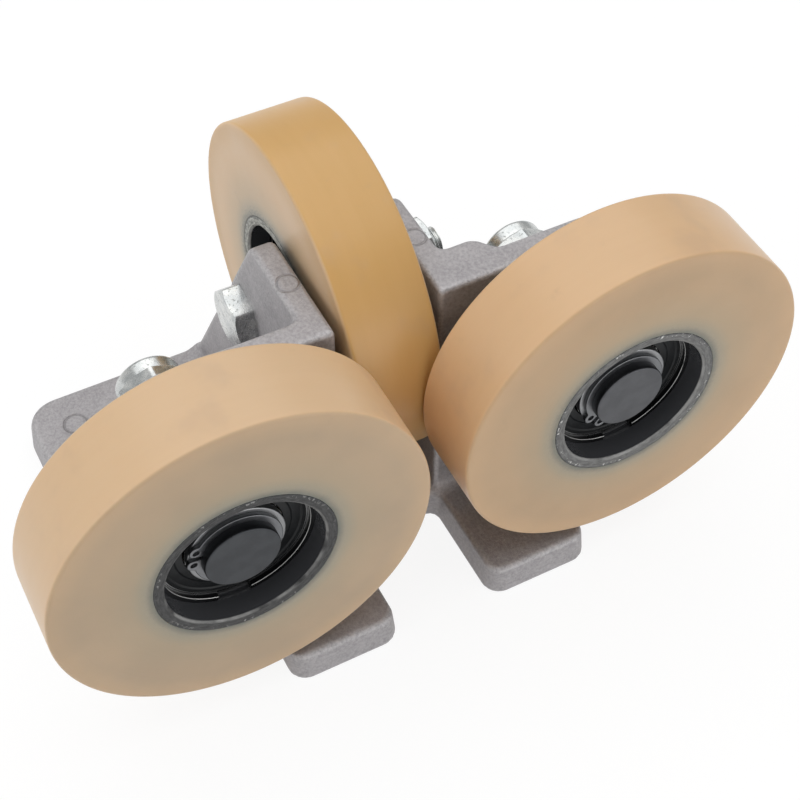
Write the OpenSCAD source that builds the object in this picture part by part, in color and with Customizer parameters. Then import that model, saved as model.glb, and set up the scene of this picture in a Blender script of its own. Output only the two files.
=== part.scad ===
// Roller guide shoe of a lift. A die-cast bracket carries two side rollers, which take the rail's blade
// between their treads, and a nose roller in a fork across them, which runs on the blade's edge.
// The bracket stands on its mounting face at z = 0. +X points out of the side rollers' faces, Y runs along
// the line of the two side axles, and the origin lies below the middle of the nose axle.

/* [Rollers] */
// Diameter of each roller over its tread
roller_d = 100; // [94:1:108]
// Width of each roller
roller_w = 24; // [23:0.5:30]
// Rounding of the two edges of the tread
tread_edge_r = 1; // [0.4:0.1:2]
// Outside diameter of the metal core that the tread is cast on
core_d = 48; // [46:0.5:56]
// Width of the gap between the side rollers' treads, for the rail's blade
rail_gap = 10; // [6:0.5:16]
// Clear distance between the nose roller's tread and the backs of the side rollers
nose_clear = 1; // [0.5:0.25:4]
// Height of the nose axle above the side axles
nose_rise = 1; // [0:0.5:6]

/* [Bearings] */
// Bore of each ball bearing
bearing_bore = 20; // [18:0.5:21]
// Outside diameter of each ball bearing
bearing_od = 42; // [40:0.5:43]
// Width of each ball bearing
bearing_w = 12; // [11:0.5:13]
// Depth of the bearing's face behind the roller's face
bearing_set = 8.25; // [7.5:0.25:9]
// Diameter of the balls
ball_d = 6.35; // [5.5:0.05:6.5]
// Number of balls in each bearing
ball_count = 9; // [7:1:10]
// Depth of the ball groove below the shoulder of each ring
groove_depth = 0.7; // [0.5:0.05:1]
// Radial width of the cage
cage_w = 2; // [1.5:0.1:2.4]
// Height of the cage's rims beside the balls
cage_rim = 0.9; // [0.6:0.1:1.2]
// Thickness of the seals
seal_t = 1; // [0.7:0.1:1.2]
// Radial width of the seal's seat in the outer ring
seal_seat = 1.3; // [0.8:0.1:1.6]
// Depth of the seals behind the bearing's faces
seal_set = 0.2; // [0.1:0.05:0.4]
// Height of the core's shoulder behind the bearing
core_lip = 2.5; // [1.5:0.25:3]
// Chamfer at the mouth of the core
core_chamfer = 0.6; // [0.3:0.1:1]
// Thickness of the core's snap ring
core_clip_t = 1.75; // [1.2:0.05:2]
// How far the snap ring stands in from the core's bore
core_clip_in = 1.3; // [0.8:0.1:2]
// Depth of the snap ring's groove in the core
core_groove = 1; // [0.6:0.1:1.2]
// Opening of the snap ring, in degrees
core_clip_gap = 26; // [15:1:60]

/* [Side axles] */
// Depth of the axle's end behind the roller's face
axle_end_set = 2.3; // [1:0.1:3.5]
// Chamfer at the axle's end
axle_chamfer = 0.6; // [0.3:0.1:1]
// Thickness of the circlip on the axle
axle_clip_t = 1.2; // [1:0.05:1.5]
// Radial width of the circlip
axle_clip_w = 2.2; // [1.6:0.1:2.6]
// Depth of the circlip's groove in the axle
axle_groove = 0.5; // [0.3:0.05:0.8]
// Radius of the circlip's two ears
clip_ear_r = 1.8; // [1.4:0.1:2]
// Diameter of the holes in the ears
clip_hole_d = 1.7; // [1.2:0.1:2]
// Angle between the circlip's two ears, in degrees
clip_ear_angle = 22; // [20:1:40]
// Opening between the ears, in degrees
clip_slit_angle = 8; // [4:1:10]
// Thickness of the support ring between circlip and bearing
support_ring_t = 2; // [1.2:0.1:2.2]
// Diameter of the support ring and of the axle's collar
axle_collar_d = 26; // [24:0.5:28]
// Diameter of the flange that seats on the bracket
axle_flange_d = 32; // [30:0.5:36]
// Thickness of that flange
axle_flange_t = 4; // [3:0.5:6]
// Diameter of the spigot in the bracket's boss
axle_spigot_d = 16; // [14:0.5:18]
// Thread diameter of the side axles
axle_thread_d = 12; // [10:0.5:13]
// Length of thread beyond the lock nut
axle_thread_out = 1; // [0.5:0.5:4]
// Width across flats of the lock nuts
axle_nut_af = 19; // [18:0.5:22]
// Height of the lock nuts
axle_nut_h = 14; // [11:0.5:16]
// Height of the round collar of the lock nuts
nut_collar_h = 4.5; // [3.5:0.25:5]
// Wall of that collar round the insert
nut_collar_t = 1.3; // [0.8:0.1:1.6]
// Radial thickness of the locking insert
nut_insert_t = 1.8; // [1.2:0.1:2]
// Height of the locking insert
nut_insert_h = 2.6; // [2:0.1:3]
// Lip of the collar that holds the insert
nut_lip = 0.8; // [0.5:0.1:1]
// Diameter of the washers under the lock nuts
axle_washer_d = 24; // [20:0.5:28]
// Thickness of those washers
axle_washer_t = 2.5; // [1.5:0.1:3]

/* [Nose axle] */
// Thread diameter of the nose bolt
nose_bolt_d = 10; // [8:0.5:11]
// Width across flats of its head and nut
nose_bolt_af = 16; // [14:0.5:17]
// Height of the bolt's head
nose_head_h = 6; // [5:0.1:8]
// Turn of the head's corners, in degrees
nose_head_turn = 15.5; // [-30:0.5:30]
// Height of the nose nut
nose_nut_h = 8.4; // [7:0.1:10]
// Length of thread beyond the nose nut
nose_bolt_out = 3.2; // [2:0.1:8]
// Diameter of the washer under the nose nut
nose_washer_d = 20; // [18:0.5:21]
// Thickness of that washer
nose_washer_t = 2.5; // [1.5:0.1:3]
// Outside diameter of the spacers beside the bearing
nose_spacer_d = 26; // [24:0.5:30]
// Diameter of the faced seats for the head and the washer
nose_seat_d = 22; // [21.5:0.5:26]

/* [Bracket] */
// Thickness of the base plate
base_t = 10; // [8:0.5:14]
// Gap between the base plate and the side rollers
base_gap = 2; // [1:0.5:6]
// Distance of the back edge behind the nose axle
base_back = 41.5; // [36:0.5:60]
// Reach of the base plate in front of the walls
base_lip = 6; // [5:0.5:9]
// Reach of the ears beyond the foot of the walls
ear_out = 8.5; // [6:0.5:20]
// Corner radius of the ears
ear_corner_r = 10; // [4:0.5:14]
// Width of the open slot between the legs
slot_w = 29; // [26:0.5:34]
// Corner radius at the closed end of the slot
slot_corner_r = 4; // [2:0.5:8]
// Width of each leg
leg_w = 31.5; // [24:0.5:36]
// Reach of the legs beyond the side rollers' faces
leg_out = 1.5; // [0:0.25:6]
// Corner radius of the legs
leg_corner_r = 5; // [2:0.5:10]
// Distance from the side rollers' backs to the walls
wall_gap = 9; // [6:0.5:16]
// Thickness of the walls
wall_t = 8; // [6:0.5:12]
// Height of the walls' top above the side axles
wall_rise = 30; // [24:0.5:36]
// Reach of the walls beyond the side axles at their top
wall_out = 15; // [14:0.5:22]
// How much farther the walls reach at their foot
wall_flare = 4; // [0:0.5:8]
// Radius of the walls' outer top corners
wall_corner_r = 12; // [4:0.5:14]
// Thickness of the pad behind the right wall, beside the cheek
pad_t = 5.7; // [3:0.1:8]
// Reach of that pad beyond the cheek
pad_w = 12.5; // [8:0.5:14]
// Corner radius of that pad
pad_corner_r = 5.5; // [2:0.5:6]
// Diameter of the bosses for the side axles
boss_d = 30; // [26:0.5:32]
// Length of those bosses behind the walls
boss_l = 8; // [6:0.5:12]
// Gap on each side of the nose roller in the fork
fork_clear = 2.5; // [1:0.25:5]
// Thickness of the fork's cheeks at their top
cheek_t = 7; // [5:0.5:10]
// How much thicker the cheeks are at their foot
cheek_flare = 4; // [1:0.5:6]
// Length of the cheeks along their top
cheek_top_l = 37; // [28:1:50]
// Radius of the cheeks' back top corner
cheek_corner_r = 3; // [1:0.5:8]
// Fillet in the corner between the cheeks and the walls or the pad
root_fillet_r = 2.5; // [1.5:0.5:5]
// Fillet at the foot of walls and cheeks
foot_fillet_r = 4; // [2:0.5:6]
// Diameter of the two fixing holes
fixing_d = 13; // [9:0.5:14]
// Distance between the fixing holes
fixing_pitch = 108; // [96:1:120]
// Place of the fixing holes along X
fixing_x = -5; // [-15:1:4]
// Diameter of the ejector marks
mark_d = 7; // [4:0.5:9]
// Depth of the ejector marks
mark_depth = 0.3; // [0.1:0.1:0.6]
// Distance of the ear marks from the ears' back and outer edges
ear_mark_in = 13; // [10:0.5:18]
// Distance of the cheek marks behind the walls' front
cheek_mark_in = 20.5; // [15:0.5:25]

/* [Rest positions] */
// Turn of the left snap ring's opening, in degrees from straight up
left_core_turn = 186; // [0:1:359]
// Turn of the right snap ring's opening
right_core_turn = 176; // [0:1:359]
// Turn of the nose snap ring's opening, in degrees from straight ahead
nose_core_turn = 60; // [0:1:359]
// Turn of the left circlip's ears, in degrees from straight up
left_clip_turn = 284; // [0:1:359]
// Turn of the right circlip's ears
right_clip_turn = 224; // [0:1:359]

/* [Fits] */
// Radial clearance of parts that sit tight on or in each other
seat_clear = 0.02; // [0.01:0.01:0.05]
// Radial clearance of bolts in their holes
bolt_clear = 0.25; // [0.1:0.05:0.5]
// Clearance between what turns and what stands still
run_clear = 0.3; // [0.2:0.05:0.5]
// Clearance of the balls in their grooves
race_clear = 0.12; // [0.1:0.01:0.2]

/* [Hidden] */
$fn = 72;
// Depth by which solids that are joined or cut run into each other
overlap = 1;
// Share of a hexagon's width that its turned faces keep, and the angle of their edge
turned_face = 0.96;
turned_angle = 30;

// Colours of the finishes
cast_grey = [0.60, 0.59, 0.61];
tread_tan = [0.86, 0.72, 0.54];
nose_amber = [0.80, 0.62, 0.36];
core_grey = [0.50, 0.51, 0.50];
oxide_black = [0.12, 0.12, 0.13];
seal_black = [0.06, 0.06, 0.07];
bright_steel = [0.78, 0.78, 0.79];
zinc_bright = [0.84, 0.85, 0.86];
nylon_white = [0.90, 0.91, 0.90];
cage_brown = [0.45, 0.33, 0.22];

// Places in the part's frame
left = -1;
right = 1;
roller_r = roller_d / 2;
side_axle_y = (roller_d + rail_gap) / 2;
side_axle_z = base_t + base_gap + roller_r;
side_back_x = roller_r + nose_clear;
side_face_x = side_back_x + roller_w;
nose_axle_z = side_axle_z + nose_rise;
wall_front_x = side_back_x - wall_gap;
wall_back_x = wall_front_x - wall_t;
wall_top_z = side_axle_z + wall_rise;
wall_top_y = side_axle_y + wall_out;
wall_foot_y = wall_top_y + wall_flare;
wall_h = wall_top_z - base_t;
ear_y = wall_foot_y + ear_out;
leg_end_x = side_face_x + leg_out;
fork_y = roller_w / 2 + fork_clear;
cheek_top_y = fork_y + cheek_t;
cheek_foot_y = cheek_top_y + cheek_flare;
cheek_angle = atan(cheek_flare / wall_h);
cheek_top_x = wall_front_x - cheek_top_l;
nose_seat_y = cheek_top_y + cheek_flare * (wall_top_z - nose_axle_z - nose_seat_d / 2) / wall_h;

// Sizes of the bearings, as radii, and depths behind the roller's face
pitch_r = (bearing_bore + bearing_od) / 4;
ball_r = ball_d / 2;
inner_land_r = pitch_r - ball_r + groove_depth;
outer_land_r = pitch_r + ball_r - groove_depth;
seal_r = outer_land_r + seal_seat;
bearing_back = bearing_set + bearing_w;
bearing_mid = bearing_set + bearing_w / 2;
core_bore_r = bearing_od / 2;
core_groove_r = core_bore_r + core_groove;
clip_side_clear = seat_clear;
clip_front = bearing_set - clip_side_clear - core_clip_t;

// Depths along the side axles
journal_r = bearing_bore / 2 - seat_clear;
groove_r = journal_r - axle_groove;
support_front = bearing_set - support_ring_t;
axle_clip_front = support_front - axle_clip_t;
wall_depth = roller_w + wall_gap;
boss_depth = wall_depth + wall_t + boss_l;
nut_depth = boss_depth + axle_washer_t;
nut_end = nut_depth + axle_nut_h;
insert_r = axle_thread_d / 2 + nut_insert_t;
nut_collar_r = insert_r + nut_collar_t;
insert_end = nut_end - nut_lip;

// Depths along the nose axle, counted from the nose roller's first face
fork_near = -fork_clear;
fork_far = roller_w + fork_clear;
head_seat = roller_w / 2 - nose_seat_y;
washer_seat = roller_w / 2 + nose_seat_y;
nut_seat = washer_seat + nose_washer_t;
nose_hole_r = nose_bolt_d / 2 + bolt_clear;
sleeve_r = journal_r;

// Carries a piece from the roller's own frame, with depth along Z, to a side axle
module at_side(side) {
    translate([side_face_x, side * side_axle_y, side_axle_z])
        rotate([0, -90, 0])
            children();
}

// Carries a piece from the roller's own frame to the nose axle
module at_nose() {
    translate([0, -roller_w / 2, nose_axle_z])
        rotate([-90, 0, 0])
            children();
}

// Carries a piece to the top of the cheek's drafted face, at a place along X
module at_draft(x) {
    translate([x, cheek_top_y, wall_top_z])
        rotate([cheek_angle, 0, 0])
            translate([0, 0, -2 * wall_h])
                children();
}

// Draws a half of the bracket and its mirror image
module both_sides() {
    children();
    mirror([0, 1, 0])
        children();
}

// Round ring between two radii and two depths
module ring(inner_r, outer_r, front, back) {
    rotate_extrude()
        translate([inner_r, front])
            square([outer_r - inner_r, back - front]);
}

function unit(v) = v / norm(v);
function half_corner(a, p, b) = acos(unit(a - p) * unit(b - p)) / 2;
function corner_point(corner) = [corner[0], corner[1]];

// Outline through corners given as [x, y, radius], with each convex corner rounded by its radius
module rounded_outline(corners) {
    n = len(corners);
    ends = [
        for (i = [0 : n - 1])
            let (
                a = corner_point(corners[(i + n - 1) % n]),
                p = corner_point(corners[i]),
                b = corner_point(corners[(i + 1) % n]),
                r = corners[i][2],
                reach = r / tan(half_corner(a, p, b)),
                deep = r / sin(half_corner(a, p, b))
            )
            [p + unit(a - p) * reach, p + unit(b - p) * reach, p + unit(unit(a - p) + unit(b - p)) * deep, r]
    ];
    polygon([for (e = ends) each (e[3] > 0 ? [e[0], e[1]] : [e[0]])]);
    for (e = ends)
        if (e[3] > 0)
            translate(e[2])
                circle(e[3]);
}

// Concave fillet of a right-angled inside corner, along Z, with the corner at the origin
module fillet_strip(r, l) {
    linear_extrude(l)
        difference() {
            square(r);
            translate([r, r])
                circle(r);
        }
}

// Hexagon bar with the corners of its chosen ends turned off
module turned_hexagon(af, h, near_end, far_end) {
    corner_r = af / sqrt(3);
    face_r = af / 2 * turned_face;
    drop = (corner_r - face_r) * tan(turned_angle);
    intersection() {
        cylinder(r = corner_r, h = h, $fn = 6);
        rotate_extrude()
            polygon([
                [0, 0],
                [near_end ? face_r : corner_r, 0],
                [corner_r, near_end ? drop : 0],
                [corner_r, far_end ? h - drop : h],
                [far_end ? face_r : corner_r, h],
                [0, h]
            ]);
    }
}

// Base plate with two ears, two legs and the open slot
module base_plate() {
    linear_extrude(base_t)
        difference() {
            union() {
                rounded_outline([
                    [-base_back, -ear_y, ear_corner_r],
                    [wall_front_x + base_lip, -ear_y, ear_corner_r],
                    [wall_front_x + base_lip, ear_y, ear_corner_r],
                    [-base_back, ear_y, ear_corner_r]
                ]);
                both_sides()
                    rounded_outline([
                        [0, slot_w / 2, 0],
                        [leg_end_x, slot_w / 2, leg_corner_r],
                        [leg_end_x, slot_w / 2 + leg_w, leg_corner_r],
                        [0, slot_w / 2 + leg_w, 0]
                    ]);
            }
            rounded_outline([
                [wall_front_x, -slot_w / 2, slot_corner_r],
                [leg_end_x + overlap, -slot_w / 2, 0],
                [leg_end_x + overlap, slot_w / 2, 0],
                [wall_front_x, slot_w / 2, slot_corner_r]
            ]);
        }
}

// Upright wall that carries a side axle
module wall() {
    translate([wall_back_x, 0, 0])
        rotate([90, 0, 90])
            linear_extrude(wall_t)
                rounded_outline([
                    [fork_y, base_t - overlap, 0],
                    [wall_foot_y, base_t - overlap, 0],
                    [wall_foot_y, base_t, 0],
                    [wall_top_y, wall_top_z, wall_corner_r],
                    [fork_y, wall_top_z, 0]
                ]);
}

// Cheek of the fork, with its outer face drafted from top to foot
module cheek() {
    difference() {
        translate([0, cheek_foot_y, 0])
            rotate([90, 0, 0])
                linear_extrude(cheek_foot_y - fork_y)
                    rounded_outline([
                        [-base_back, base_t - overlap, 0],
                        [wall_front_x, base_t - overlap, 0],
                        [wall_front_x, wall_top_z, 0],
                        [cheek_top_x, wall_top_z, cheek_corner_r],
                        [-base_back, base_t, 0]
                    ]);
        at_draft(-base_back - overlap)
            cube([base_back + wall_back_x + overlap, 2 * cheek_t, 3 * wall_h]);
    }
}

// Fillet up the corner between the cheek and the face behind it
module root_fillet(x) {
    intersection() {
        at_draft(x)
            rotate([0, 0, 90])
                fillet_strip(root_fillet_r, 3 * wall_h);
        translate([x - root_fillet_r, fork_y, base_t])
            cube([root_fillet_r, 2 * wall_foot_y, wall_h]);
    }
}

// Pad that thickens the right wall beside the cheek
module pad() {
    pad_y = cheek_top_y + pad_w;
    pad_x = wall_back_x - pad_t;
    translate([0, 0, base_t - overlap])
        linear_extrude(wall_h + overlap)
            rounded_outline([
                [pad_x, fork_y + cheek_t / 2, 0],
                [wall_back_x + overlap, fork_y + cheek_t / 2, 0],
                [wall_back_x + overlap, pad_y, 0],
                [pad_x, pad_y, min(pad_corner_r, pad_t)]
            ]);
    root_fillet(pad_x);
}

// Fillets where the wall and the cheek stand on the base plate
module foot_fillets() {
    translate([wall_back_x, cheek_foot_y, base_t])
        rotate([90, 0, 180])
            fillet_strip(foot_fillet_r, wall_foot_y - cheek_foot_y);
    translate([wall_front_x, wall_foot_y, base_t])
        rotate([90, 0, 0])
            fillet_strip(foot_fillet_r, wall_foot_y - slot_w / 2);
    translate([-base_back, cheek_foot_y, base_t])
        rotate([90, 0, 90])
            fillet_strip(foot_fillet_r, base_back + wall_back_x);
}

// One half of the casting, before the holes
module casting_half() {
    wall();
    cheek();
    root_fillet(wall_back_x);
    foot_fillets();
    translate([wall_back_x - boss_l, side_axle_y, side_axle_z])
        rotate([0, 90, 0])
            cylinder(d = boss_d, h = boss_l + wall_t / 2);
}

// Holes, faced seats and ejector marks of one half
module half_cuts() {
    mark_h = mark_depth + overlap;
    translate([wall_back_x - boss_l - overlap, side_axle_y, side_axle_z])
        rotate([0, 90, 0])
            cylinder(d = axle_spigot_d, h = boss_l + wall_t + 2 * overlap);
    translate([0, nose_seat_y, nose_axle_z])
        rotate([-90, 0, 0])
            cylinder(d = nose_seat_d, h = cheek_flare + overlap);
    translate([0, fork_y - overlap, nose_axle_z])
        rotate([-90, 0, 0])
            cylinder(r = nose_hole_r, h = cheek_t + cheek_flare + 2 * overlap);
    translate([fixing_x, fixing_pitch / 2, -overlap])
        cylinder(d = fixing_d, h = base_t + 2 * overlap);
    translate([ear_mark_in - base_back, ear_y - ear_mark_in, base_t - mark_depth])
        cylinder(d = mark_d, h = mark_h);
    translate([wall_front_x - cheek_mark_in, (fork_y + cheek_top_y) / 2, wall_top_z - mark_depth])
        cylinder(d = min(mark_d, cheek_t - overlap), h = mark_h);
}

// Bracket: one casting with base plate, walls, bosses and the fork
module bracket_casting() {
    color(cast_grey)
        difference() {
            union() {
                base_plate();
                both_sides()
                    casting_half();
                pad();
            }
            both_sides()
                half_cuts();
        }
}

// Tread of cast polyurethane with rounded edges
module tyre(finish) {
    inner_r = core_d / 2 + seat_clear;
    color(finish)
        rotate_extrude()
            rounded_outline([
                [inner_r, 0, 0],
                [roller_r, 0, tread_edge_r],
                [roller_r, roller_w, tread_edge_r],
                [inner_r, roller_w, 0]
            ]);
}

// Metal core with the bearing's seat, the snap ring's groove and a shoulder
module core() {
    clip_back = clip_front + core_clip_t + clip_side_clear;
    color(core_grey)
        rotate_extrude()
            polygon([
                [core_bore_r + core_chamfer, 0],
                [core_d / 2, 0],
                [core_d / 2, roller_w],
                [core_bore_r - core_lip, roller_w],
                [core_bore_r - core_lip, bearing_back],
                [core_bore_r, bearing_back],
                [core_bore_r, clip_back],
                [core_groove_r, clip_back],
                [core_groove_r, clip_front - clip_side_clear],
                [core_bore_r, clip_front - clip_side_clear],
                [core_bore_r, core_chamfer]
            ]);
}

// Open snap ring that holds the bearing in the core
module core_circlip(turn) {
    cut_r = 2 * core_bore_r;
    cut_y = cut_r * tan(core_clip_gap / 2);
    color(oxide_black)
        rotate([0, 0, turn])
            translate([0, 0, clip_front])
                linear_extrude(core_clip_t)
                    difference() {
                        circle(core_groove_r - seat_clear);
                        circle(core_bore_r - core_clip_in);
                        polygon([[0, 0], [cut_r, -cut_y], [cut_r, cut_y]]);
                    }
}

// Outer ring with its ball groove and the seats of the seals
module bearing_outer_ring() {
    seat_t = seal_set + seal_t + seat_clear;
    color(bright_steel)
        rotate_extrude()
            difference() {
                translate([outer_land_r, bearing_set])
                    square([core_bore_r - seat_clear - outer_land_r, bearing_w]);
                translate([pitch_r, bearing_mid])
                    circle(ball_r + race_clear);
                translate([outer_land_r - overlap, bearing_set - overlap])
                    square([seal_seat + seat_clear + overlap, seat_t + overlap]);
                translate([outer_land_r - overlap, bearing_back - seat_t])
                    square([seal_seat + seat_clear + overlap, seat_t + overlap]);
            }
}

// Inner ring with its ball groove
module bearing_inner_ring() {
    color(bright_steel)
        rotate_extrude()
            difference() {
                translate([bearing_bore / 2, bearing_set])
                    square([inner_land_r - bearing_bore / 2, bearing_w]);
                translate([pitch_r, bearing_mid])
                    circle(ball_r + race_clear);
            }
}

// Balls, evenly spread round the bearing
module bearing_balls() {
    color(bright_steel)
        for (i = [0 : ball_count - 1])
            rotate([0, 0, i * 360 / ball_count])
                translate([pitch_r, 0, bearing_mid])
                    sphere(ball_r);
}

// Ring with a round pocket for each ball
module bearing_cage() {
    half_h = ball_r + race_clear + cage_rim;
    color(cage_brown)
        difference() {
            ring(pitch_r - cage_w / 2, pitch_r + cage_w / 2, bearing_mid - half_h, bearing_mid + half_h);
            for (i = [0 : ball_count - 1])
                rotate([0, 0, i * 360 / ball_count])
                    translate([pitch_r - cage_w, 0, bearing_mid])
                        rotate([0, 90, 0])
                            cylinder(r = ball_r + race_clear, h = 2 * cage_w);
        }
}

// Pair of seals, seated in the outer ring with a free lip at the inner ring
module bearing_seals() {
    lip_r = inner_land_r + run_clear;
    front = bearing_set + seal_set;
    back = bearing_back - seal_set;
    color(seal_black) {
        ring(lip_r, seal_r, front, front + seal_t);
        ring(lip_r, seal_r, back - seal_t, back);
    }
}

// Stepped stud: end, circlip groove, journal, collar, flange, spigot and thread
module axle() {
    thread_r = axle_thread_d / 2;
    spigot_r = axle_spigot_d / 2 - seat_clear;
    thread_start = boss_depth - overlap;
    thread_end = nut_end + axle_thread_out;
    color(oxide_black)
        rotate_extrude()
            polygon([
                [0, axle_end_set],
                [journal_r - axle_chamfer, axle_end_set],
                [journal_r, axle_end_set + axle_chamfer],
                [journal_r, axle_clip_front - seat_clear],
                [groove_r, axle_clip_front - seat_clear],
                [groove_r, support_front],
                [journal_r, support_front],
                [journal_r, bearing_back],
                [axle_collar_d / 2, bearing_back],
                [axle_collar_d / 2, wall_depth - axle_flange_t],
                [axle_flange_d / 2, wall_depth - axle_flange_t],
                [axle_flange_d / 2, wall_depth],
                [spigot_r, wall_depth],
                [spigot_r, thread_start],
                [thread_r, thread_start],
                [thread_r, thread_end - axle_chamfer],
                [thread_r - axle_chamfer, thread_end],
                [0, thread_end]
            ]);
}

// Circlip with two ears for the pliers
module axle_circlip(turn) {
    outer_r = groove_r + axle_clip_w;
    cut_r = 2 * outer_r;
    cut_y = cut_r * tan(clip_slit_angle / 2);
    color(core_grey)
        rotate([0, 0, turn])
            translate([0, 0, axle_clip_front])
                linear_extrude(axle_clip_t)
                    difference() {
                        union() {
                            circle(outer_r);
                            for (side = [left, right])
                                rotate(side * clip_ear_angle / 2)
                                    translate([outer_r, 0])
                                        circle(clip_ear_r);
                        }
                        circle(groove_r + seat_clear);
                        polygon([[0, 0], [cut_r, -cut_y], [cut_r, cut_y]]);
                        for (side = [left, right])
                            rotate(side * clip_ear_angle / 2)
                                translate([outer_r, 0])
                                    circle(d = clip_hole_d);
                    }
}

// Ring that backs the circlip against the bearing
module support_ring() {
    color(bright_steel)
        ring(journal_r + seat_clear, axle_collar_d / 2, support_front, bearing_set);
}

// Plain washer between the boss and the lock nut
module axle_washer() {
    color(zinc_bright)
        ring(axle_thread_d / 2 + bolt_clear, axle_washer_d / 2, boss_depth, nut_depth);
}

// Lock nut: a hexagon with a round collar that holds the insert
module axle_nut() {
    hexagon_h = axle_nut_h - nut_collar_h;
    edge = nut_collar_t;
    lip_r = insert_r - nut_lip;
    color(zinc_bright)
        difference() {
            union() {
                translate([0, 0, nut_depth])
                    turned_hexagon(axle_nut_af, hexagon_h, true, true);
                rotate_extrude()
                    rounded_outline([
                        [0, nut_depth + hexagon_h - overlap, 0],
                        [nut_collar_r, nut_depth + hexagon_h - overlap, 0],
                        [nut_collar_r, nut_end, edge],
                        [0, nut_end, 0]
                    ]);
            }
            translate([0, 0, nut_depth - overlap])
                cylinder(d = axle_thread_d + 2 * seat_clear, h = axle_nut_h + 2 * overlap);
            translate([0, 0, insert_end - nut_insert_h])
                cylinder(r = insert_r, h = nut_insert_h);
            translate([0, 0, insert_end - overlap])
                cylinder(r = lip_r, h = nut_lip + 2 * overlap);
        }
}

// Nylon ring that grips the thread
module nut_insert() {
    color(nylon_white)
        ring(axle_thread_d / 2 + seat_clear, insert_r - seat_clear, insert_end - nut_insert_h, insert_end);
}

// Hexagon bolt through the fork
module nose_bolt() {
    bolt_r = nose_bolt_d / 2;
    bolt_end = nut_seat + nose_nut_h + nose_bolt_out;
    color(zinc_bright) {
        translate([0, 0, head_seat - nose_head_h])
            rotate([0, 0, 30 - nose_head_turn])
                turned_hexagon(nose_bolt_af, nose_head_h, true, false);
        translate([0, 0, head_seat - overlap])
            cylinder(r = bolt_r, h = bolt_end - head_seat + overlap - axle_chamfer);
        translate([0, 0, bolt_end - axle_chamfer])
            cylinder(r1 = bolt_r, r2 = bolt_r - axle_chamfer, h = axle_chamfer);
    }
}

// Plain washer under the nose nut
module nose_washer() {
    color(zinc_bright)
        ring(nose_hole_r, nose_washer_d / 2, washer_seat, nut_seat);
}

// Hexagon nut on the nose bolt
module nose_nut() {
    color(zinc_bright)
        difference() {
            translate([0, 0, nut_seat])
                turned_hexagon(nose_bolt_af, nose_nut_h, true, true);
            translate([0, 0, nut_seat - overlap])
                cylinder(d = nose_bolt_d + 2 * seat_clear, h = nose_nut_h + 2 * overlap);
        }
}

// Tube between the cheeks that carries the nose bearing
module nose_sleeve() {
    color(bright_steel)
        ring(nose_hole_r, sleeve_r, fork_near, fork_far);
}

// Two tubes that hold the inner ring in the middle of the fork
module nose_spacers() {
    color(bright_steel) {
        ring(sleeve_r + seat_clear, nose_spacer_d / 2, fork_near, bearing_set);
        ring(sleeve_r + seat_clear, nose_spacer_d / 2, bearing_back, fork_far);
    }
}

bracket_casting();

at_side(left) axle();  // left_axle
at_side(left) axle_washer();  // left_axle_washer
at_side(left) axle_nut();  // left_axle_nut
at_side(left) nut_insert();  // left_nut_insert
at_side(left) axle_circlip(left_clip_turn);  // left_axle_circlip
at_side(left) support_ring();  // left_support_ring
at_side(left) bearing_inner_ring();  // left_bearing_inner_ring
at_side(left) tyre(tread_tan);  // left_tyre
at_side(left) core();  // left_core
at_side(left) core_circlip(left_core_turn);  // left_core_circlip
at_side(left) bearing_outer_ring();  // left_bearing_outer_ring
at_side(left) bearing_balls();  // left_bearing_balls
at_side(left) bearing_cage();  // left_bearing_cage
at_side(left) bearing_seals();  // left_bearing_seals

at_side(right) axle();  // right_axle
at_side(right) axle_washer();  // right_axle_washer
at_side(right) axle_nut();  // right_axle_nut
at_side(right) nut_insert();  // right_nut_insert
at_side(right) axle_circlip(right_clip_turn);  // right_axle_circlip
at_side(right) support_ring();  // right_support_ring
at_side(right) bearing_inner_ring();  // right_bearing_inner_ring
at_side(right) tyre(tread_tan);  // right_tyre
at_side(right) core();  // right_core
at_side(right) core_circlip(right_core_turn);  // right_core_circlip
at_side(right) bearing_outer_ring();  // right_bearing_outer_ring
at_side(right) bearing_balls();  // right_bearing_balls
at_side(right) bearing_cage();  // right_bearing_cage
at_side(right) bearing_seals();  // right_bearing_seals

at_nose() nose_bolt();
at_nose() nose_washer();
at_nose() nose_nut();
at_nose() nose_sleeve();
at_nose() nose_spacers();
at_nose() bearing_inner_ring();  // nose_bearing_inner_ring
at_nose() tyre(nose_amber);  // nose_tyre
at_nose() core();  // nose_core
at_nose() core_circlip(nose_core_turn);  // nose_core_circlip
at_nose() bearing_outer_ring();  // nose_bearing_outer_ring
at_nose() bearing_balls();  // nose_bearing_balls
at_nose() bearing_cage();  // nose_bearing_cage
at_nose() bearing_seals();  // nose_bearing_seals
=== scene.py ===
"""Looks of a lift's roller guide shoe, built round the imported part, piece by piece as it is put together."""

import bmesh
import bpy
import numpy as np
from mathutils import Matrix


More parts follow.
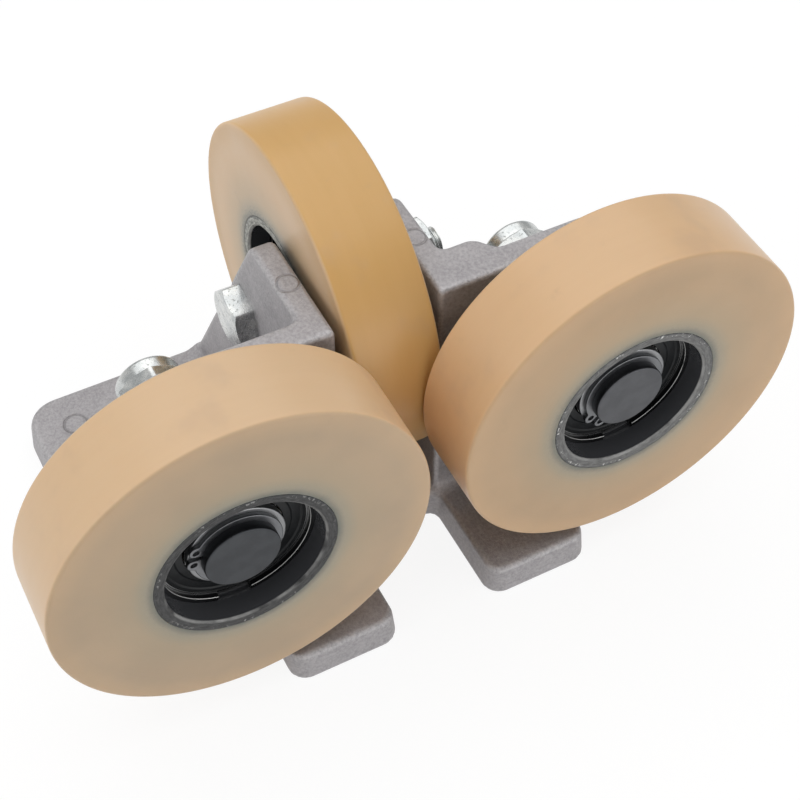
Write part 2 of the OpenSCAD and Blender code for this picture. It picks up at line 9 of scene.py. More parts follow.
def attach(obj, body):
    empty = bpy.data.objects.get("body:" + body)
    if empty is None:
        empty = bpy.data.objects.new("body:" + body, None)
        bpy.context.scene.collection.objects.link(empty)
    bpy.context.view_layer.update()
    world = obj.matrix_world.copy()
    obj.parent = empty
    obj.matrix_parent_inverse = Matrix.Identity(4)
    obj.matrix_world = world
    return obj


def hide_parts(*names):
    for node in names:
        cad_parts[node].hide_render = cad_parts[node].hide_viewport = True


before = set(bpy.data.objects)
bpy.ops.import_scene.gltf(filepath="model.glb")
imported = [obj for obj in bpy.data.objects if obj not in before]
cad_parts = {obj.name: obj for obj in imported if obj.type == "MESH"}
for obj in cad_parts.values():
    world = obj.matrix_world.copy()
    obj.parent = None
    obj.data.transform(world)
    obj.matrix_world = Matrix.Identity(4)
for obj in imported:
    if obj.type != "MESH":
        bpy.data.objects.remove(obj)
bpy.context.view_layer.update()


# Bracket: base plate with ears and legs, two walls for the side axles and the fork of the nose roller.
# One aluminium die casting with drafted sides, rounded edges and a fine matte skin.
# It stands on the car frame with its flat underside and is held there by two bolts.
MM = 0.001
base_top, base_back, lip_x = 10.0, -41.5, 48.0
ear_y, ear_r = 82.5, 10.0
leg_end, leg_mid, leg_half, leg_r = 76.5, 30.25, 15.75, 5.0
slot_x, slot_half, slot_r = 42.6, 14.5, 4.0
wall_front, wall_back, wall_top = 42.0, 34.0, 92.0
wall_top_y, wall_foot_y, wall_corner_r = 70.0, 74.0, 12.0
cheek_in, cheek_top_y, cheek_foot_y = 14.5, 21.5, 25.5
cheek_top_x, cheek_foot_x, cheek_corner_r = 5.0, -40.6, 3.0
pad_back, pad_y, pad_r = 28.3, 34.0, 5.5
side_y, side_z, nose_z = 55.0, 62.0, 63.0
boss_r, boss_back, axle_bore_r, axle_bore_edge = 15.0, 26.0, 8.0, 0.5
nose_bore_r, nose_bore_edge, seat_r, seat_y, seat_edge = 5.25, 0.4, 11.0, 22.38, 0.3
fixing_x, fixing_y, fixing_r, fixing_edge = -5.0, 54.0, 6.5, 0.8
edge_r, root_r, foot_r, join_r = 1.3, 2.5, 4.0, 3.0
side_draft = 0.1
ear_mark = (-28.5, 69.5, 3.5)
cheek_mark = (21.5, 18.0, 3.0)
skin_dark, skin_pale = (0.310, 0.297, 0.308), (0.490, 0.472, 0.482)
worn_tone, groove_shade_tone = (0.60, 0.59, 0.59), (0.16, 0.15, 0.15)


def fuse(a, b, r):
    """Distance to two solids joined with a fillet: max(r, min(a, b)) less the length of (r - a, r - b)."""
    return np.maximum(r, np.minimum(a, b)) - np.hypot(np.maximum(r - a, 0), np.maximum(r - b, 0))


def trim(a, b, r):
    """Distance to what two solids share, with a rounded edge: min(-r, max(a, b)) plus the length
    of (r + a, r + b)."""
    return np.minimum(-r, np.maximum(a, b)) + np.hypot(np.maximum(r + a, 0), np.maximum(r + b, 0))


def panel(u, v, half_u, half_v, r):
    """Distance to a flat panel's outline with corners of radius r."""
    u = np.abs(u) - half_u + r
    v = np.abs(v) - half_v + r
    return np.hypot(np.maximum(u, 0), np.maximum(v, 0)) + np.minimum(np.maximum(u, v), 0) - r


def casting(x, y, z):
    """Distance to the casting's skin, negative inside, the same on both sides of the rail's plane but for
    the pad. Half spaces and panels, fused with fillets and trimmed with rounded edges, less the bores."""
    pad = trim(pad_back - x, np.abs(y - (pad_y + cheek_in) / 2) - (pad_y - cheek_in) / 2, pad_r)
    y = np.abs(y)
    plate = panel(x - (lip_x + base_back) / 2, y, (lip_x - base_back) / 2, ear_y, ear_r)
    legs = panel(x - leg_end / 2, y - leg_mid, leg_end / 2, leg_half, leg_r)
    slot = panel(x - slot_x - leg_end, y, leg_end, slot_half, slot_r)
    outline = np.maximum(fuse(plate, legs, join_r), -slot) + side_draft * (z - base_top / 2)
    outline = np.maximum(outline, base_back - x)
    base = trim(outline, np.abs(z - base_top / 2) - base_top / 2, edge_r)

    height = wall_top - base_top
    lean = (wall_foot_y - wall_top_y) / height
    flare = (cheek_foot_y - cheek_top_y) / height
    run = cheek_top_x - cheek_foot_x
    wall_side = (y - wall_top_y - lean * (wall_top - z)) / np.hypot(1, lean)
    cheek_side = (y - cheek_top_y - flare * (wall_top - z)) / np.hypot(1, flare)
    cheek_end = ((cheek_top_x - x) * height + (z - wall_top) * run) / np.hypot(height, run)
    envelope = trim(trim(wall_side, z - wall_top, wall_corner_r), cheek_end, cheek_corner_r)
    boss = trim(np.hypot(y - side_y, z - side_z) - boss_r, boss_back - x, edge_r)
    upright = fuse(fuse(fuse(wall_back - x, boss, join_r), pad, join_r), cheek_side, root_r)
    upright = trim(trim(upright, x - wall_front, edge_r), cheek_in - y, edge_r)
    upright = np.maximum(trim(upright, envelope, edge_r), base_top / 2 - z)

    solid = np.maximum(fuse(upright, base, foot_r), base_back - x)
    from_nose = np.hypot(x, z - nose_z)
    solid = trim(solid, -np.maximum(from_nose - seat_r, seat_y - y), seat_edge)
    solid = trim(solid, nose_bore_r - from_nose, nose_bore_edge)
    solid = trim(solid, axle_bore_r - np.hypot(y - side_y, z - side_z), axle_bore_edge)
    return trim(solid, fixing_r - np.hypot(x - fixing_x, y - fixing_y), fixing_edge)


def gradient(field, points, reach):
    """Slope of a distance field at each point, from its values a reach to both sides along each axis."""
    ways = np.eye(3) * reach
    ahead = np.stack([field(*(points + way).T) for way in ways], -1)
    behind = np.stack([field(*(points - way).T) for way in ways], -1)
    return (ahead - behind) / (2 * reach)


def skin_of(field, low, high, step, slides=4):
    """Surface where a distance field is zero. Each grid cell that it passes holds one point, the mean of
    its crossings with the cell's edges, and each crossed grid edge joins the four points round it by a face.
    The points then slide along the slope onto the exact surface, whose slope is also their normal."""
    axes = [np.arange(a, b + step, step) for a, b in zip(low, high)]
    value = field(*np.meshgrid(*axes, indexing="ij"))
    inside = value < 0
    cells = np.array(value.shape) - 1
    total = np.zeros((*cells, 3))
    count = np.zeros(cells)
    for axis in range(3):
        for corner in ((0, 0), (0, 1), (1, 0), (1, 1)):
            start = np.insert(corner, axis, 0)
            end = np.insert(corner, axis, 1)
            near, far = (tuple(slice(o, o + n) for o, n in zip(at, cells)) for at in (start, end))
            crossed = inside[near] != inside[far]
            gap = np.where(crossed, value[near] - value[far], 1.0)
            place = np.broadcast_to(start.astype(float), total.shape).copy()
            place[..., axis] = value[near] / gap
            total += crossed[..., None] * place
            count += crossed
    mixed = count > 0
    number = np.full(cells, -1)
    number[mixed] = np.arange(mixed.sum())
    points = (np.argwhere(mixed) + total[mixed] / count[mixed][:, None]) * step + np.array(low)

    faces = []
    for axis in range(3):
        b, c = np.eye(3, dtype=int)[[(axis + 1) % 3, (axis + 2) % 3]]
        ahead = np.moveaxis(inside, axis, 0)
        crossed = np.zeros(value.shape, bool)
        np.moveaxis(crossed, axis, 0)[:-1] = ahead[1:] != ahead[:-1]
        grid = np.argwhere(crossed)
        quad = np.stack([number[tuple((grid + o).T)] for o in (-b - c, -c, 0 * b, -b)], -1)
        flip = ~inside[tuple(grid.T)]
        quad[flip] = quad[flip][:, ::-1]
        faces.append(quad)
    reach = step * 0.05
    for _ in range(slides):
        slope = gradient(field, points, reach)
        shift = field(*points.T)[:, None] * slope / np.sum(slope ** 2, 1, keepdims=True)
        points = points - np.clip(shift, -step / 2, step / 2)
    normals = gradient(field, points, reach)
    return points, np.concatenate(faces), normals / np.linalg.norm(normals, axis=1, keepdims=True)


def add_piece(name, points, faces, finish, normals=None, weld=1e-7):
    """Mesh from points in millimetres and their faces. Without normals, doubles at poles and seams are
    closed and the faces are turned outwards."""
    mesh = bpy.data.meshes.new(name)
    mesh.from_pydata(points * MM, [], faces)
    if normals is None:
        work = bmesh.new()
        work.from_mesh(mesh)
        bmesh.ops.remove_doubles(work, verts=work.verts, dist=weld)
        bmesh.ops.recalc_face_normals(work, faces=work.faces)
        work.to_mesh(mesh)
        work.free()
    mesh.shade_smooth()
    if normals is not None:
        mesh.normals_split_custom_set_from_vertices(normals)
    mesh.materials.append(finish.material)
    piece = bpy.data.objects.new(name, mesh)
    bpy.context.scene.collection.objects.link(piece)
    return piece


def fit(piece, body, slot, *nodes):
    """The piece moves with its body and stands for its solids, which are hidden. The slot is not used."""
    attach(piece, body)
    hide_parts(*nodes)


class Value:
    """A shader socket that takes part in sums: each operator adds one Math node."""

    def __init__(self, recipe, socket):
        self.recipe = recipe
        self.socket = socket

    def maths(self, operation, *terms):
        return self.recipe.node("ShaderNodeMath", {"operation": operation}, dict(enumerate(terms)))

    def __add__(self, other):
        return self.maths("ADD", self, other)

    def __sub__(self, other):
        return self.maths("SUBTRACT", self, other)

    def __rsub__(self, other):
        return self.maths("SUBTRACT", other, self)

    def __mul__(self, other):
        return self.maths("MULTIPLY", self, other)

    def __pow__(self, other):
        return self.maths("POWER", self, other)

    def __abs__(self):
        return self.maths("ABSOLUTE", self)

    __radd__ = __add__
    __rmul__ = __mul__

    def hypot(self, other):
        """Length of two values at right angles: the root of the sum of their squares."""
        return (self ** 2.0 + other ** 2.0) ** 0.5

    def between(self, low, high):
        """0 below low, 1 above high and a smooth step from one to the other."""
        return self.recipe.node(
            "ShaderNodeMapRange", {"interpolation_type": "SMOOTHSTEP"},
            {"Value": self, "From Min": low, "From Max": high, "To Min": 0.0, "To Max": 1.0})


class Recipe:
    """Nodes of one material or of the world, added one at a time."""

    def __init__(self, tree):
        self.tree = tree

    def node(self, kind, settings=None, sockets=None, output=0):
        """Adds a node, sets it up, feeds its sockets with numbers or links, and gives one output."""
        made = self.tree.nodes.new(kind)
        for key, value in (settings or {}).items():
            setattr(made, key, value)
        for key, value in (sockets or {}).items():
            self.feed(made.inputs[key], value)
        return Value(self, made.outputs[output])

    def feed(self, socket, value):
        """Links a value to a socket, or sets a plain number or colour on it."""
        if isinstance(value, Value):
            self.tree.links.new(value.socket, socket)
        else:
            socket.default_value = value

    def mix(self, factor, a, b):
        """Colour that goes from a to b with the factor."""
        first, second = (c if isinstance(c, Value) else (*c, 1.0) for c in (a, b))
        return self.node("ShaderNodeMix", {"data_type": "RGBA"}, {0: factor, 6: first, 7: second}, 2)


class Finish(Recipe):
    """Material on a Principled shader, with its coordinates in millimetres."""

    def __init__(self, name, **fixed):
        self.material = bpy.data.materials.new(name)
        self.material.use_nodes = True
        super().__init__(self.material.node_tree)
        self.shader = self.tree.nodes["Principled BSDF"]
        self.give(**fixed)
        place = self.node("ShaderNodeTexCoord", output="Object")
        self.at = self.node("ShaderNodeVectorMath", {"operation": "SCALE"}, {0: place, "Scale": 1 / MM})
        self.x, self.y, self.z = (
            self.node("ShaderNodeSeparateXYZ", {}, {0: self.at}, axis) for axis in range(3))

    def give(self, **values):
        """Feeds sockets of the shader, named with underscores for spaces."""
        for key, value in values.items():
            self.feed(self.shader.inputs[key.replace("_", " ")], value)

    def join(self, x, y=0.0, z=0.0):
        """Coordinates of a pattern, from three values."""
        return self.node("ShaderNodeCombineXYZ", {}, {0: x, 1: y, 2: z})

    def noise(self, size, detail=2.0, roughness=0.5, at=None):
        """Cloudy pattern from 0 to 1 with patches of about the given size in millimetres."""
        return self.node("ShaderNodeTexNoise", {}, {
            "Vector": at or self.at, "Scale": 1 / size, "Detail": detail, "Roughness": roughness})

    def bump(self, height, depth):
        """Relief of the given depth in millimetres."""
        self.give(Normal=self.node("ShaderNodeBump", {}, {"Height": height, "Distance": depth * MM}))


def mark_ring(finish, x, y, radius):
    """Thin groove of an ejector mark: 1 on a circle round a place in plan, 0 away from it."""
    away = (finish.x - x).hypot(abs(finish.y) - y)
    return 1.0 - abs(away - radius).between(0.1, 0.5)


cast_skin = Finish("cast_skin", Metallic=0.45, Specular_IOR_Level=0.4)
worn = cast_skin.node("ShaderNodeAttribute", {"attribute_name": "worn"}, {}, "Fac")
cloud = cast_skin.noise(14.0, 3.0)
flow = cast_skin.noise(3.2, 4.0, 0.6)
grain = cast_skin.noise(0.9, 4.0, 0.75)
fine = cast_skin.noise(0.3, 2.0)
tone = cloud * 0.2 + flow * 0.2 + grain * 0.6
skin_colour = cast_skin.mix(tone.between(0.34, 0.66), skin_dark, skin_pale)
skin_colour = cast_skin.mix(worn * grain.between(0.3, 0.6) * 0.5, skin_colour, worn_tone)
top_mark = mark_ring(cast_skin, *cheek_mark) * cast_skin.z.between(wall_top - 1.0, wall_top - 0.5)
low_mark = mark_ring(cast_skin, *ear_mark) * (1.0 - cast_skin.z.between(base_top + 1.0, base_top + 2.0))
marks = top_mark + low_mark * cast_skin.z.between(base_top - 1.0, base_top - 0.5)
# The ejector marks' grooves are darkened in the colour as painted shade, besides being cut in by the bump.
cast_skin.give(Base_Color=cast_skin.mix(marks * 0.35, skin_colour, groove_shade_tone),
               Roughness=0.42 + 0.2 * flow + 0.1 * grain - 0.08 * worn)
cast_skin.bump(grain * 0.9 + fine * 0.4 + flow * 0.8 - marks * 1.6, 0.16)

margin, cell = 2.0, 1.0
bracket_low = (base_back - margin, -ear_y - margin, -margin)
bracket_high = (leg_end + margin, ear_y + margin, wall_top + margin)
points, faces, normals = skin_of(casting, bracket_low, bracket_high, cell)
bracket = add_piece("bracket", points, faces, cast_skin, normals)
bend_reach, worn_gain, worn_least = 0.5, 1.2, 0.2
ways = np.concatenate([np.eye(3), -np.eye(3)]) * bend_reach
spread = sum(casting(*(points + way).T) for way in ways)
bend = (spread - len(ways) * casting(*points.T)) / bend_reach ** 2
worn_values = bracket.data.attributes.new("worn", "FLOAT", "POINT")
worn_values.data.foreach_set("value", np.clip(bend * worn_gain - worn_least, 0, 1).astype(np.float32))
fit(bracket, "bracket", "cast_aluminium", "bracket_casting")


# Side axles: stepped studs whose flange seats on the wall and whose thread goes through the boss.
# Steel, turned and blackened; the flat end shows fine turning rings.
face_x = 75.0
axle_end, journal_r, groove_r = 2.3, 9.98, 9.48
clip_front, support_front, bearing_front, bearing_back = 5.05, 6.25, 8.25, 20.25
collar_r, flange_r, flange_front, wall_depth = 13.0, 16.0, 29.0, 33.0
spigot_r, thread_r, thread_pitch, thread_start, axle_length = 7.98, 6.0, 1.75, 48.0, 66.5
thread_runout = 1.0
sides = {"left": -1, "right": 1}
stud_tones = {
    "left": ((0.056, 0.059, 0.064), (0.070, 0.074, 0.080)),
    "right": ((0.088, 0.090, 0.097), (0.110, 0.113, 0.121)),
}


def on_side(side):
    """Carries a roller's own frame, height, breadth and depth behind its face, to a side axle."""
    return lambda up, out, depth: np.stack(
        np.broadcast_arrays(face_x - depth, side * side_y + out, side_z + up), -1)


def soften(corners, steps=6, gap=None, flat=1.4):
    """Closed outline through corners (radius, depth, ease). A corner P is the curve
    (1-t)^2 A + 2t(1-t) P + t^2 B between points A and B an ease away on its two sides, with a further point
    flat times as far on each side. With a gap, points are added so that none lie farther apart."""
    table = np.array(corners, float)
    tip, ease = table[:, :2], table[:, 2:]
    back, on = (np.roll(tip, n, 0) - tip for n in (1, -1))
    back, on = (way / np.linalg.norm(way, axis=1, keepdims=True) * ease for way in (back, on))
    t = np.linspace(0, 1, steps)[:, None]
    a, p, b = ((tip + way)[:, None] for way in (back, 0 * on, on))
    curve = (1 - t) ** 2 * a + 2 * t * (1 - t) * p + t ** 2 * b
    lead, tail = ((tip + flat * way)[:, None] for way in (back, on))
    line = np.concatenate([lead, curve, tail], 1).reshape(-1, 2)
    if gap is None:
        return line
    loop = np.concatenate([line, line[:1]])
    length = np.concatenate([[0], np.cumsum(np.linalg.norm(np.diff(loop, axis=0), axis=1))])
    stations = np.union1d(length[:-1], np.arange(0, length[-1], gap))
    return np.stack([np.interp(stations, length, loop[:, i]) for i in range(2)], -1)


def turned(outline, place, steps=120, shape=None):
    """Outline of (radius, depth) points carried round its axis. A shape changes the radius by angle
    and depth."""
    angle = np.linspace(0, 2 * np.pi, steps, endpoint=False)[None, :]
    radius, depth = outline.T[:, :, None]
    if shape is not None:
        radius = shape(radius, angle, depth)
    points = place(radius * np.cos(angle), radius * np.sin(angle), depth + 0 * angle)
    number = np.arange(points.size // 3).reshape(points.shape[:2])
    ahead = np.roll(number, -1, 0)
    faces = np.stack([number, ahead, np.roll(ahead, -1, 1), np.roll(number, -1, 1)], -1)
    return points.reshape(-1, 3), faces.reshape(-1, 4)


def thread(radius, angle, depth, top, pitch, start):
    """Screw thread of radius top beyond a depth: the radius shrinks by a V, cut to 0.6 of the pitch,
    that climbs one pitch with each turn and has narrow flats at its crest and root."""
    wave = np.abs((depth / pitch - angle / (2 * np.pi)) % 1 * 2 - 1)
    cut = np.clip(wave * 1.15 - 0.1, 0, 1) * 0.6 * pitch
    return np.where(depth > start, radius * (1 - cut / top), radius)


axle_outline = soften([
    (0, axle_end, 0), (journal_r, axle_end, 0.5), (journal_r, clip_front, 0.05),
    (groove_r, clip_front, 0.05), (groove_r, support_front, 0.05), (journal_r, support_front, 0.05),
    (journal_r, bearing_back, 0.1), (collar_r, bearing_back, 0.3), (collar_r, flange_front, 0.4),
    (flange_r, flange_front, 0.4), (flange_r, wall_depth, 0.3), (spigot_r, wall_depth, 0.1),
    (spigot_r, thread_start, 0.2), (thread_r, thread_start, 0.1), (thread_r, axle_length, 0.7),
    (0, axle_length, 0)], gap=0.7)


def axle_shape(radius, angle, depth):
    """Cut thread behind its runout."""
    return thread(radius, angle, depth, thread_r, thread_pitch, thread_start + thread_runout)


for name, side in sides.items():
    blackened = Finish(f"blackened_{name}", Metallic=1.0)
    from_axis = (blackened.y - side * side_y).hypot(blackened.z - side_z)
    rings = blackened.noise(0.25, 2.0, at=blackened.join(from_axis))
    smear = blackened.noise(5.0, 3.0)
    blackened.give(
        Base_Color=blackened.mix(smear.between(0.35, 0.7), *stud_tones[name]),
        Roughness=0.3 + 0.16 * smear + 0.08 * rings)
    blackened.bump(rings * 0.6 + blackened.noise(0.3) * 0.4, 0.02)
    points, faces = turned(axle_outline, on_side(side), shape=axle_shape)
    axle = add_piece(f"{name}_stud", points, faces, blackened)
    fit(axle, "bracket", "black_steel", f"{name}_axle")


# Lock nuts and washers: each stud is held behind its boss by a thick washer and a hexagon nut with a round
# collar. Steel, zinc plated and passivated to a bluish white; the collar grips a white nylon ring.
boss_depth, nut_depth, hexagon_end, nut_end = 49.0, 51.5, 61.0, 65.5
washer_r, washer_bore_r = 12.0, 6.25
nut_flats, nut_collar_r, nut_mouth_r, nut_turn = 19.0, 9.1, 7.0, np.pi / 6
insert_r, insert_start, insert_end = 7.8, 62.1, 64.7
thread_play = 0.05
plate_dull, plate_bright, spot_tone = (0.50, 0.52, 0.52), (0.68, 0.69, 0.675), (0.20, 0.21, 0.20)
nylon_shade, nylon_white = (0.78, 0.79, 0.76), (0.86, 0.86, 0.84)


def hexagon(angle, flats, turn, norm=40):
    """Radius of a hexagon with slightly rounded corners: half the flats over the norm of its six cosines."""
    lean = np.cos(angle[None] - (np.arange(6) * np.pi / 3 + turn)[:, None, None])
    return flats / 2 / np.sum(np.maximum(lean, 0) ** norm, 0) ** (1 / norm)


def on_flats(flats, turn):
    """Shape of a turned piece that is cut back to a hexagon."""
    return lambda radius, angle, depth: np.minimum(radius, hexagon(angle, flats, turn))


def chamfer_of(flats):
    """Radius of a hexagon's corners, radius of the circle left on its face, and depth of its 30 degree
    chamfer."""
    corner = flats / np.sqrt(3)
    circle = flats / 2 * 0.96
    return corner, circle, (corner - circle) * np.tan(np.pi / 6)


def washer_outline(bore, rim, front, back):
    """Section of a stamped washer with a rounder rim than bore."""
    return soften([(bore, front, 0.15), (rim, front, 0.3), (rim, back, 0.4), (bore, back, 0.15)])


def dress(finish, *nodes):
    """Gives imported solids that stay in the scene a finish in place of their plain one."""
    for node in nodes:
        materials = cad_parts[node].data.materials
        materials.clear()
        materials.append(finish.material)


zinc_plate = Finish("zinc_plate", Metallic=1.0)
cloud = zinc_plate.noise(3.0, 3.0)
spots = zinc_plate.noise(0.8, 3.0, 0.6)
plate_colour = zinc_plate.mix(cloud.between(0.35, 0.7), plate_dull, plate_bright)
zinc_plate.give(
    Base_Color=zinc_plate.mix(spots.between(0.61, 0.66) * 0.6, plate_colour, spot_tone),
    Roughness=0.2 + 0.12 * cloud + 0.12 * spots.between(0.55, 0.7))
zinc_plate.bump(spots * 0.7 + zinc_plate.noise(0.25) * 0.3, 0.025)

corner_r, chamfer_r, drop = chamfer_of(nut_flats)
nut_outline = soften([
    (thread_r + thread_play, nut_depth, 0.1), (chamfer_r, nut_depth, 0.1), (corner_r, nut_depth + drop, 0.1),
    (corner_r, hexagon_end - drop, 0.1), (nut_collar_r, hexagon_end, 0.15), (nut_collar_r, nut_end, 1.1),
    (nut_mouth_r, nut_end, 0.3), (nut_mouth_r, insert_end, 0.1), (insert_r, insert_end, 0.05),
    (insert_r, insert_start, 0.05), (thread_r + thread_play, insert_start, 0.1)], gap=0.3)
for name, side in sides.items():
    points, faces = turned(washer_outline(washer_bore_r, washer_r, boss_depth, nut_depth), on_side(side))
    washer = add_piece(f"{name}_washer", points, faces, zinc_plate)
    fit(washer, "bracket", "zinc_steel", f"{name}_axle_washer")
    points, faces = turned(nut_outline, on_side(side), 144, on_flats(nut_flats, nut_turn))
    nut = add_piece(f"{name}_lock_nut", points, faces, zinc_plate)
    fit(nut, "bracket", "zinc_steel", f"{name}_axle_nut")

nylon = Finish("nylon", Subsurface_Weight=0.2, Subsurface_Scale=0.001)
nylon.give(Base_Color=nylon.mix(nylon.noise(2.0), nylon_shade, nylon_white),
           Roughness=0.42 + 0.12 * nylon.noise(0.7))
dress(nylon, "left_nut_insert", "right_nut_insert")


# Ball bearings: hardened rings, balls in a moulded cage and a rubber seal on each side.
# They are pressed into the cores; only the seals and the rings' edges can be seen from outside.
roller_w = 24.0
seal_in, seal_out, seal_set, seal_t = 13.325, 19.275, 0.2, 1.0
seal_mid = (seal_in + seal_out) / 2
bead_w, bead_fall, trough_w, trough_rise, trough_t, lip_t = 0.9, 0.3, 0.6, 0.4, 0.3, 0.1
ground_dark, ground_bright = (0.60, 0.60, 0.60), (0.70, 0.70, 0.69)
cage_dark, cage_pale = (0.30, 0.20, 0.12), (0.36, 0.25, 0.15)
rubber_black, rubber_dusty = (0.004, 0.005, 0.006), (0.014, 0.016, 0.018)


def on_nose(along, down, depth):
    """Carries the nose roller's own frame to its place in the fork."""
    return np.stack(np.broadcast_arrays(along, depth - roller_w / 2, nose_z - down), -1)


rollers = {"left": on_side(-1), "right": on_side(1), "nose": on_nose}
ground_steel = Finish("ground_steel", Metallic=1.0)
lines = ground_steel.noise(1.2, 3.0)
ground_steel.give(
    Base_Color=ground_steel.mix(lines, ground_dark, ground_bright),
    Roughness=0.12 + 0.1 * lines)
ground_steel.bump(ground_steel.noise(0.3), 0.01)
for part in ("inner_ring", "outer_ring", "balls"):
    dress(ground_steel, *(f"{name}_bearing_{part}" for name in rollers))
dress(ground_steel, "nose_sleeve", "nose_spacers")

cage_moulding = Finish("cage_moulding")
cage_moulding.give(
    Base_Color=cage_moulding.mix(cage_moulding.noise(2.0), cage_dark, cage_pale),
    Roughness=0.45 + 0.15 * cage_moulding.noise(0.6))
dress(cage_moulding, *(f"{name}_bearing_cage" for name in rollers))

seal_rubber = Finish("seal_rubber", Specular_IOR_Level=0.35)
dust = seal_rubber.noise(2.5, 4.0, 0.6)
seal_rubber.give(
    Base_Color=seal_rubber.mix(dust.between(0.4, 0.8), rubber_black, rubber_dusty),
    Roughness=0.34 + 0.2 * dust)
seal_rubber.bump(seal_rubber.noise(0.25, 2.0), 0.015)


def seal_outline(front, way):
    """Seal disc with a raised bead at its rim and a shallow trough in its middle, on its outer side."""
    deep, trough, lip = (front + way * t for t in (seal_t, trough_t, lip_t))
    return soften([
        (seal_in, front, 0.15), (seal_in, deep, 0.15), (seal_out, deep, 0.15), (seal_out, front, 0.2),
        (seal_out - bead_w, front, 0.12), (seal_out - bead_w - bead_fall, trough, 0.12),
        (seal_mid - trough_w, trough, 0.12), (seal_mid - trough_w - trough_rise, lip, 0.12)])


for name, place in rollers.items():
    near = turned(seal_outline(bearing_front + seal_set, 1), place)
    far = turned(seal_outline(bearing_back - seal_set, -1), place)
    points = np.concatenate([near[0], far[0]])
    faces = np.concatenate([near[1], far[1] + len(near[0])])
    seals = add_piece(f"{name}_seals", points, faces, seal_rubber)
    fit(seals, f"{name}_roller", "seal_rubber", f"{name}_bearing_seals")


# Cores: turned metal sleeves that the treads are cast on, with the bearing's seat and a shoulder behind it.
# Their faces are roughly trimmed and grey, with bright burrs; the bore is dark and smooth.
core_r, core_bore_r, core_lip_r, core_mouth = 24.0, 21.0, 18.5, 0.6
core_groove_r, clip_slot = 22.0, 6.46
core_burrs = {"left": 0.4, "right": 1.0, "nose": 0.8}
core_tones = {
    "left": ((0.035, 0.035, 0.036), (0.10, 0.10, 0.10)),
    "right": ((0.09, 0.09, 0.09), (0.23, 0.23, 0.226)),
    "nose": ((0.06, 0.06, 0.055), (0.55, 0.55, 0.50)),
}
bore_tone, rim_tone = (0.075, 0.077, 0.084), (0.40, 0.40, 0.39)
burr_tone, seam_tone = (0.72, 0.72, 0.70), (0.06, 0.063, 0.065)


def polar(finish, name):
    """Radius and angle round a roller's axle and depth behind its face, in millimetres and radians."""
    if name == "nose":
        up, out, depth = finish.z - nose_z, finish.x, finish.y + roller_w / 2
    else:
        up, out, depth = finish.z - side_z, finish.y - sides[name] * side_y, face_x - finish.x
    return up.hypot(out), up.maths("ARCTAN2", out, up), depth


def on_face(depth, start, end):
    """1 on a roller's two flat faces and 0 between them, with a step from start to end inside each face."""
    return abs(depth - roller_w / 2).between(roller_w / 2 - start, roller_w / 2 - end)


core_outline = soften([
    (core_bore_r + core_mouth, 0, 0.1), (core_r, 0, 0.12), (core_r, roller_w, 0.12),
    (core_lip_r, roller_w, 0.3), (core_lip_r, bearing_back, 0.1), (core_bore_r, bearing_back, 0.05),
    (core_bore_r, bearing_front, 0.05), (core_groove_r, bearing_front, 0.05),
    (core_groove_r, clip_slot, 0.05), (core_bore_r, clip_slot, 0.05), (core_bore_r, core_mouth, 0.1)])
for name, place in rollers.items():
    core_metal = Finish(f"core_metal_{name}")
    radius, angle, depth = polar(core_metal, name)
    face = on_face(depth, 0.9, 0.4)
    rough = core_metal.noise(0.9, 4.0, 0.65, core_metal.join(angle * 9.0, radius * 1.6, depth))
    patch = core_metal.noise(6.0, 2.0)
    burr = radius.between(core_r - 1.4, core_r - 0.7) * core_metal.noise(1.1, 3.0, 0.6).between(0.54, 0.64)
    rim = 1.0 - radius.between(core_bore_r + 0.35, core_bore_r + 0.8)
    seam = radius.between(core_r - 0.6, core_r - 0.1)
    grey = core_metal.mix(rough.between(0.25, 0.75), *core_tones[name])
    grey = core_metal.mix(rim * patch.between(0.3, 0.6) * 0.6, grey, rim_tone)
    grey = core_metal.mix(burr * patch.between(0.45, 0.58) * core_burrs[name], grey, burr_tone)
    grey = core_metal.mix(seam * patch.between(0.3, 0.5) * 0.7, grey, seam_tone)
    core_metal.give(
        Base_Color=core_metal.mix(face, bore_tone, grey),
        Metallic=0.25 + 0.5 * face,
        Roughness=0.24 + face * (0.18 + 0.25 * rough))
    core_metal.bump(rough * face + burr * face * 0.8, 0.15)
    points, faces = turned(core_outline, place, 144)
    core = add_piece(f"{name}_hub", points, faces, core_metal)
    fit(core, f"{name}_roller", "core_metal", f"{name}_core")


# Snap rings: open rings of flat spring steel, sprung into the cores' grooves in front of the bearings.
# Blackened; a bright line along the inner edge is painted on as the highlight there.
snap_in, snap_out, snap_front, snap_back, snap_ease = 19.7, 21.98, 6.48, 8.23, 0.2
half_gap = np.radians(13.0)
snap_turn = {"left": 186.0, "right": 176.0, "nose": 60.0}
spring_tone, highlight_tone = (0.05, 0.051, 0.054), (0.50, 0.50, 0.49)


def bent(outline, place, start, end, steps=140, tips=6, tip_arc=0.02):
    """Closed outline carried round an arc and drawn in to its middle at both ends, which closes them: its
    size there follows a quarter circle over the arc of a tip."""
    ramp = np.sqrt(1 - (1 - np.linspace(0, 1, tips)) ** 2)
    lead = np.linspace(-tip_arc, 0, tips)
    angle = np.concatenate([start + lead, np.linspace(start, end, steps), end - lead[::-1]])
    size = np.concatenate([ramp, np.ones(steps), ramp[::-1]])[None, :, None]
    middle = outline.mean(0)
    section = middle + (outline - middle)[:, None] * size
    radius, depth = section[..., 0], section[..., 1]
    points = place(radius * np.cos(angle), radius * np.sin(angle), depth)
    number = np.arange(points.size // 3).reshape(points.shape[:2])
    ahead = np.roll(number, -1, 0)
    faces = np.stack([number[:, :-1], ahead[:, :-1], ahead[:, 1:], number[:, 1:]], -1)
    return points.reshape(-1, 3), faces.reshape(-1, 4)


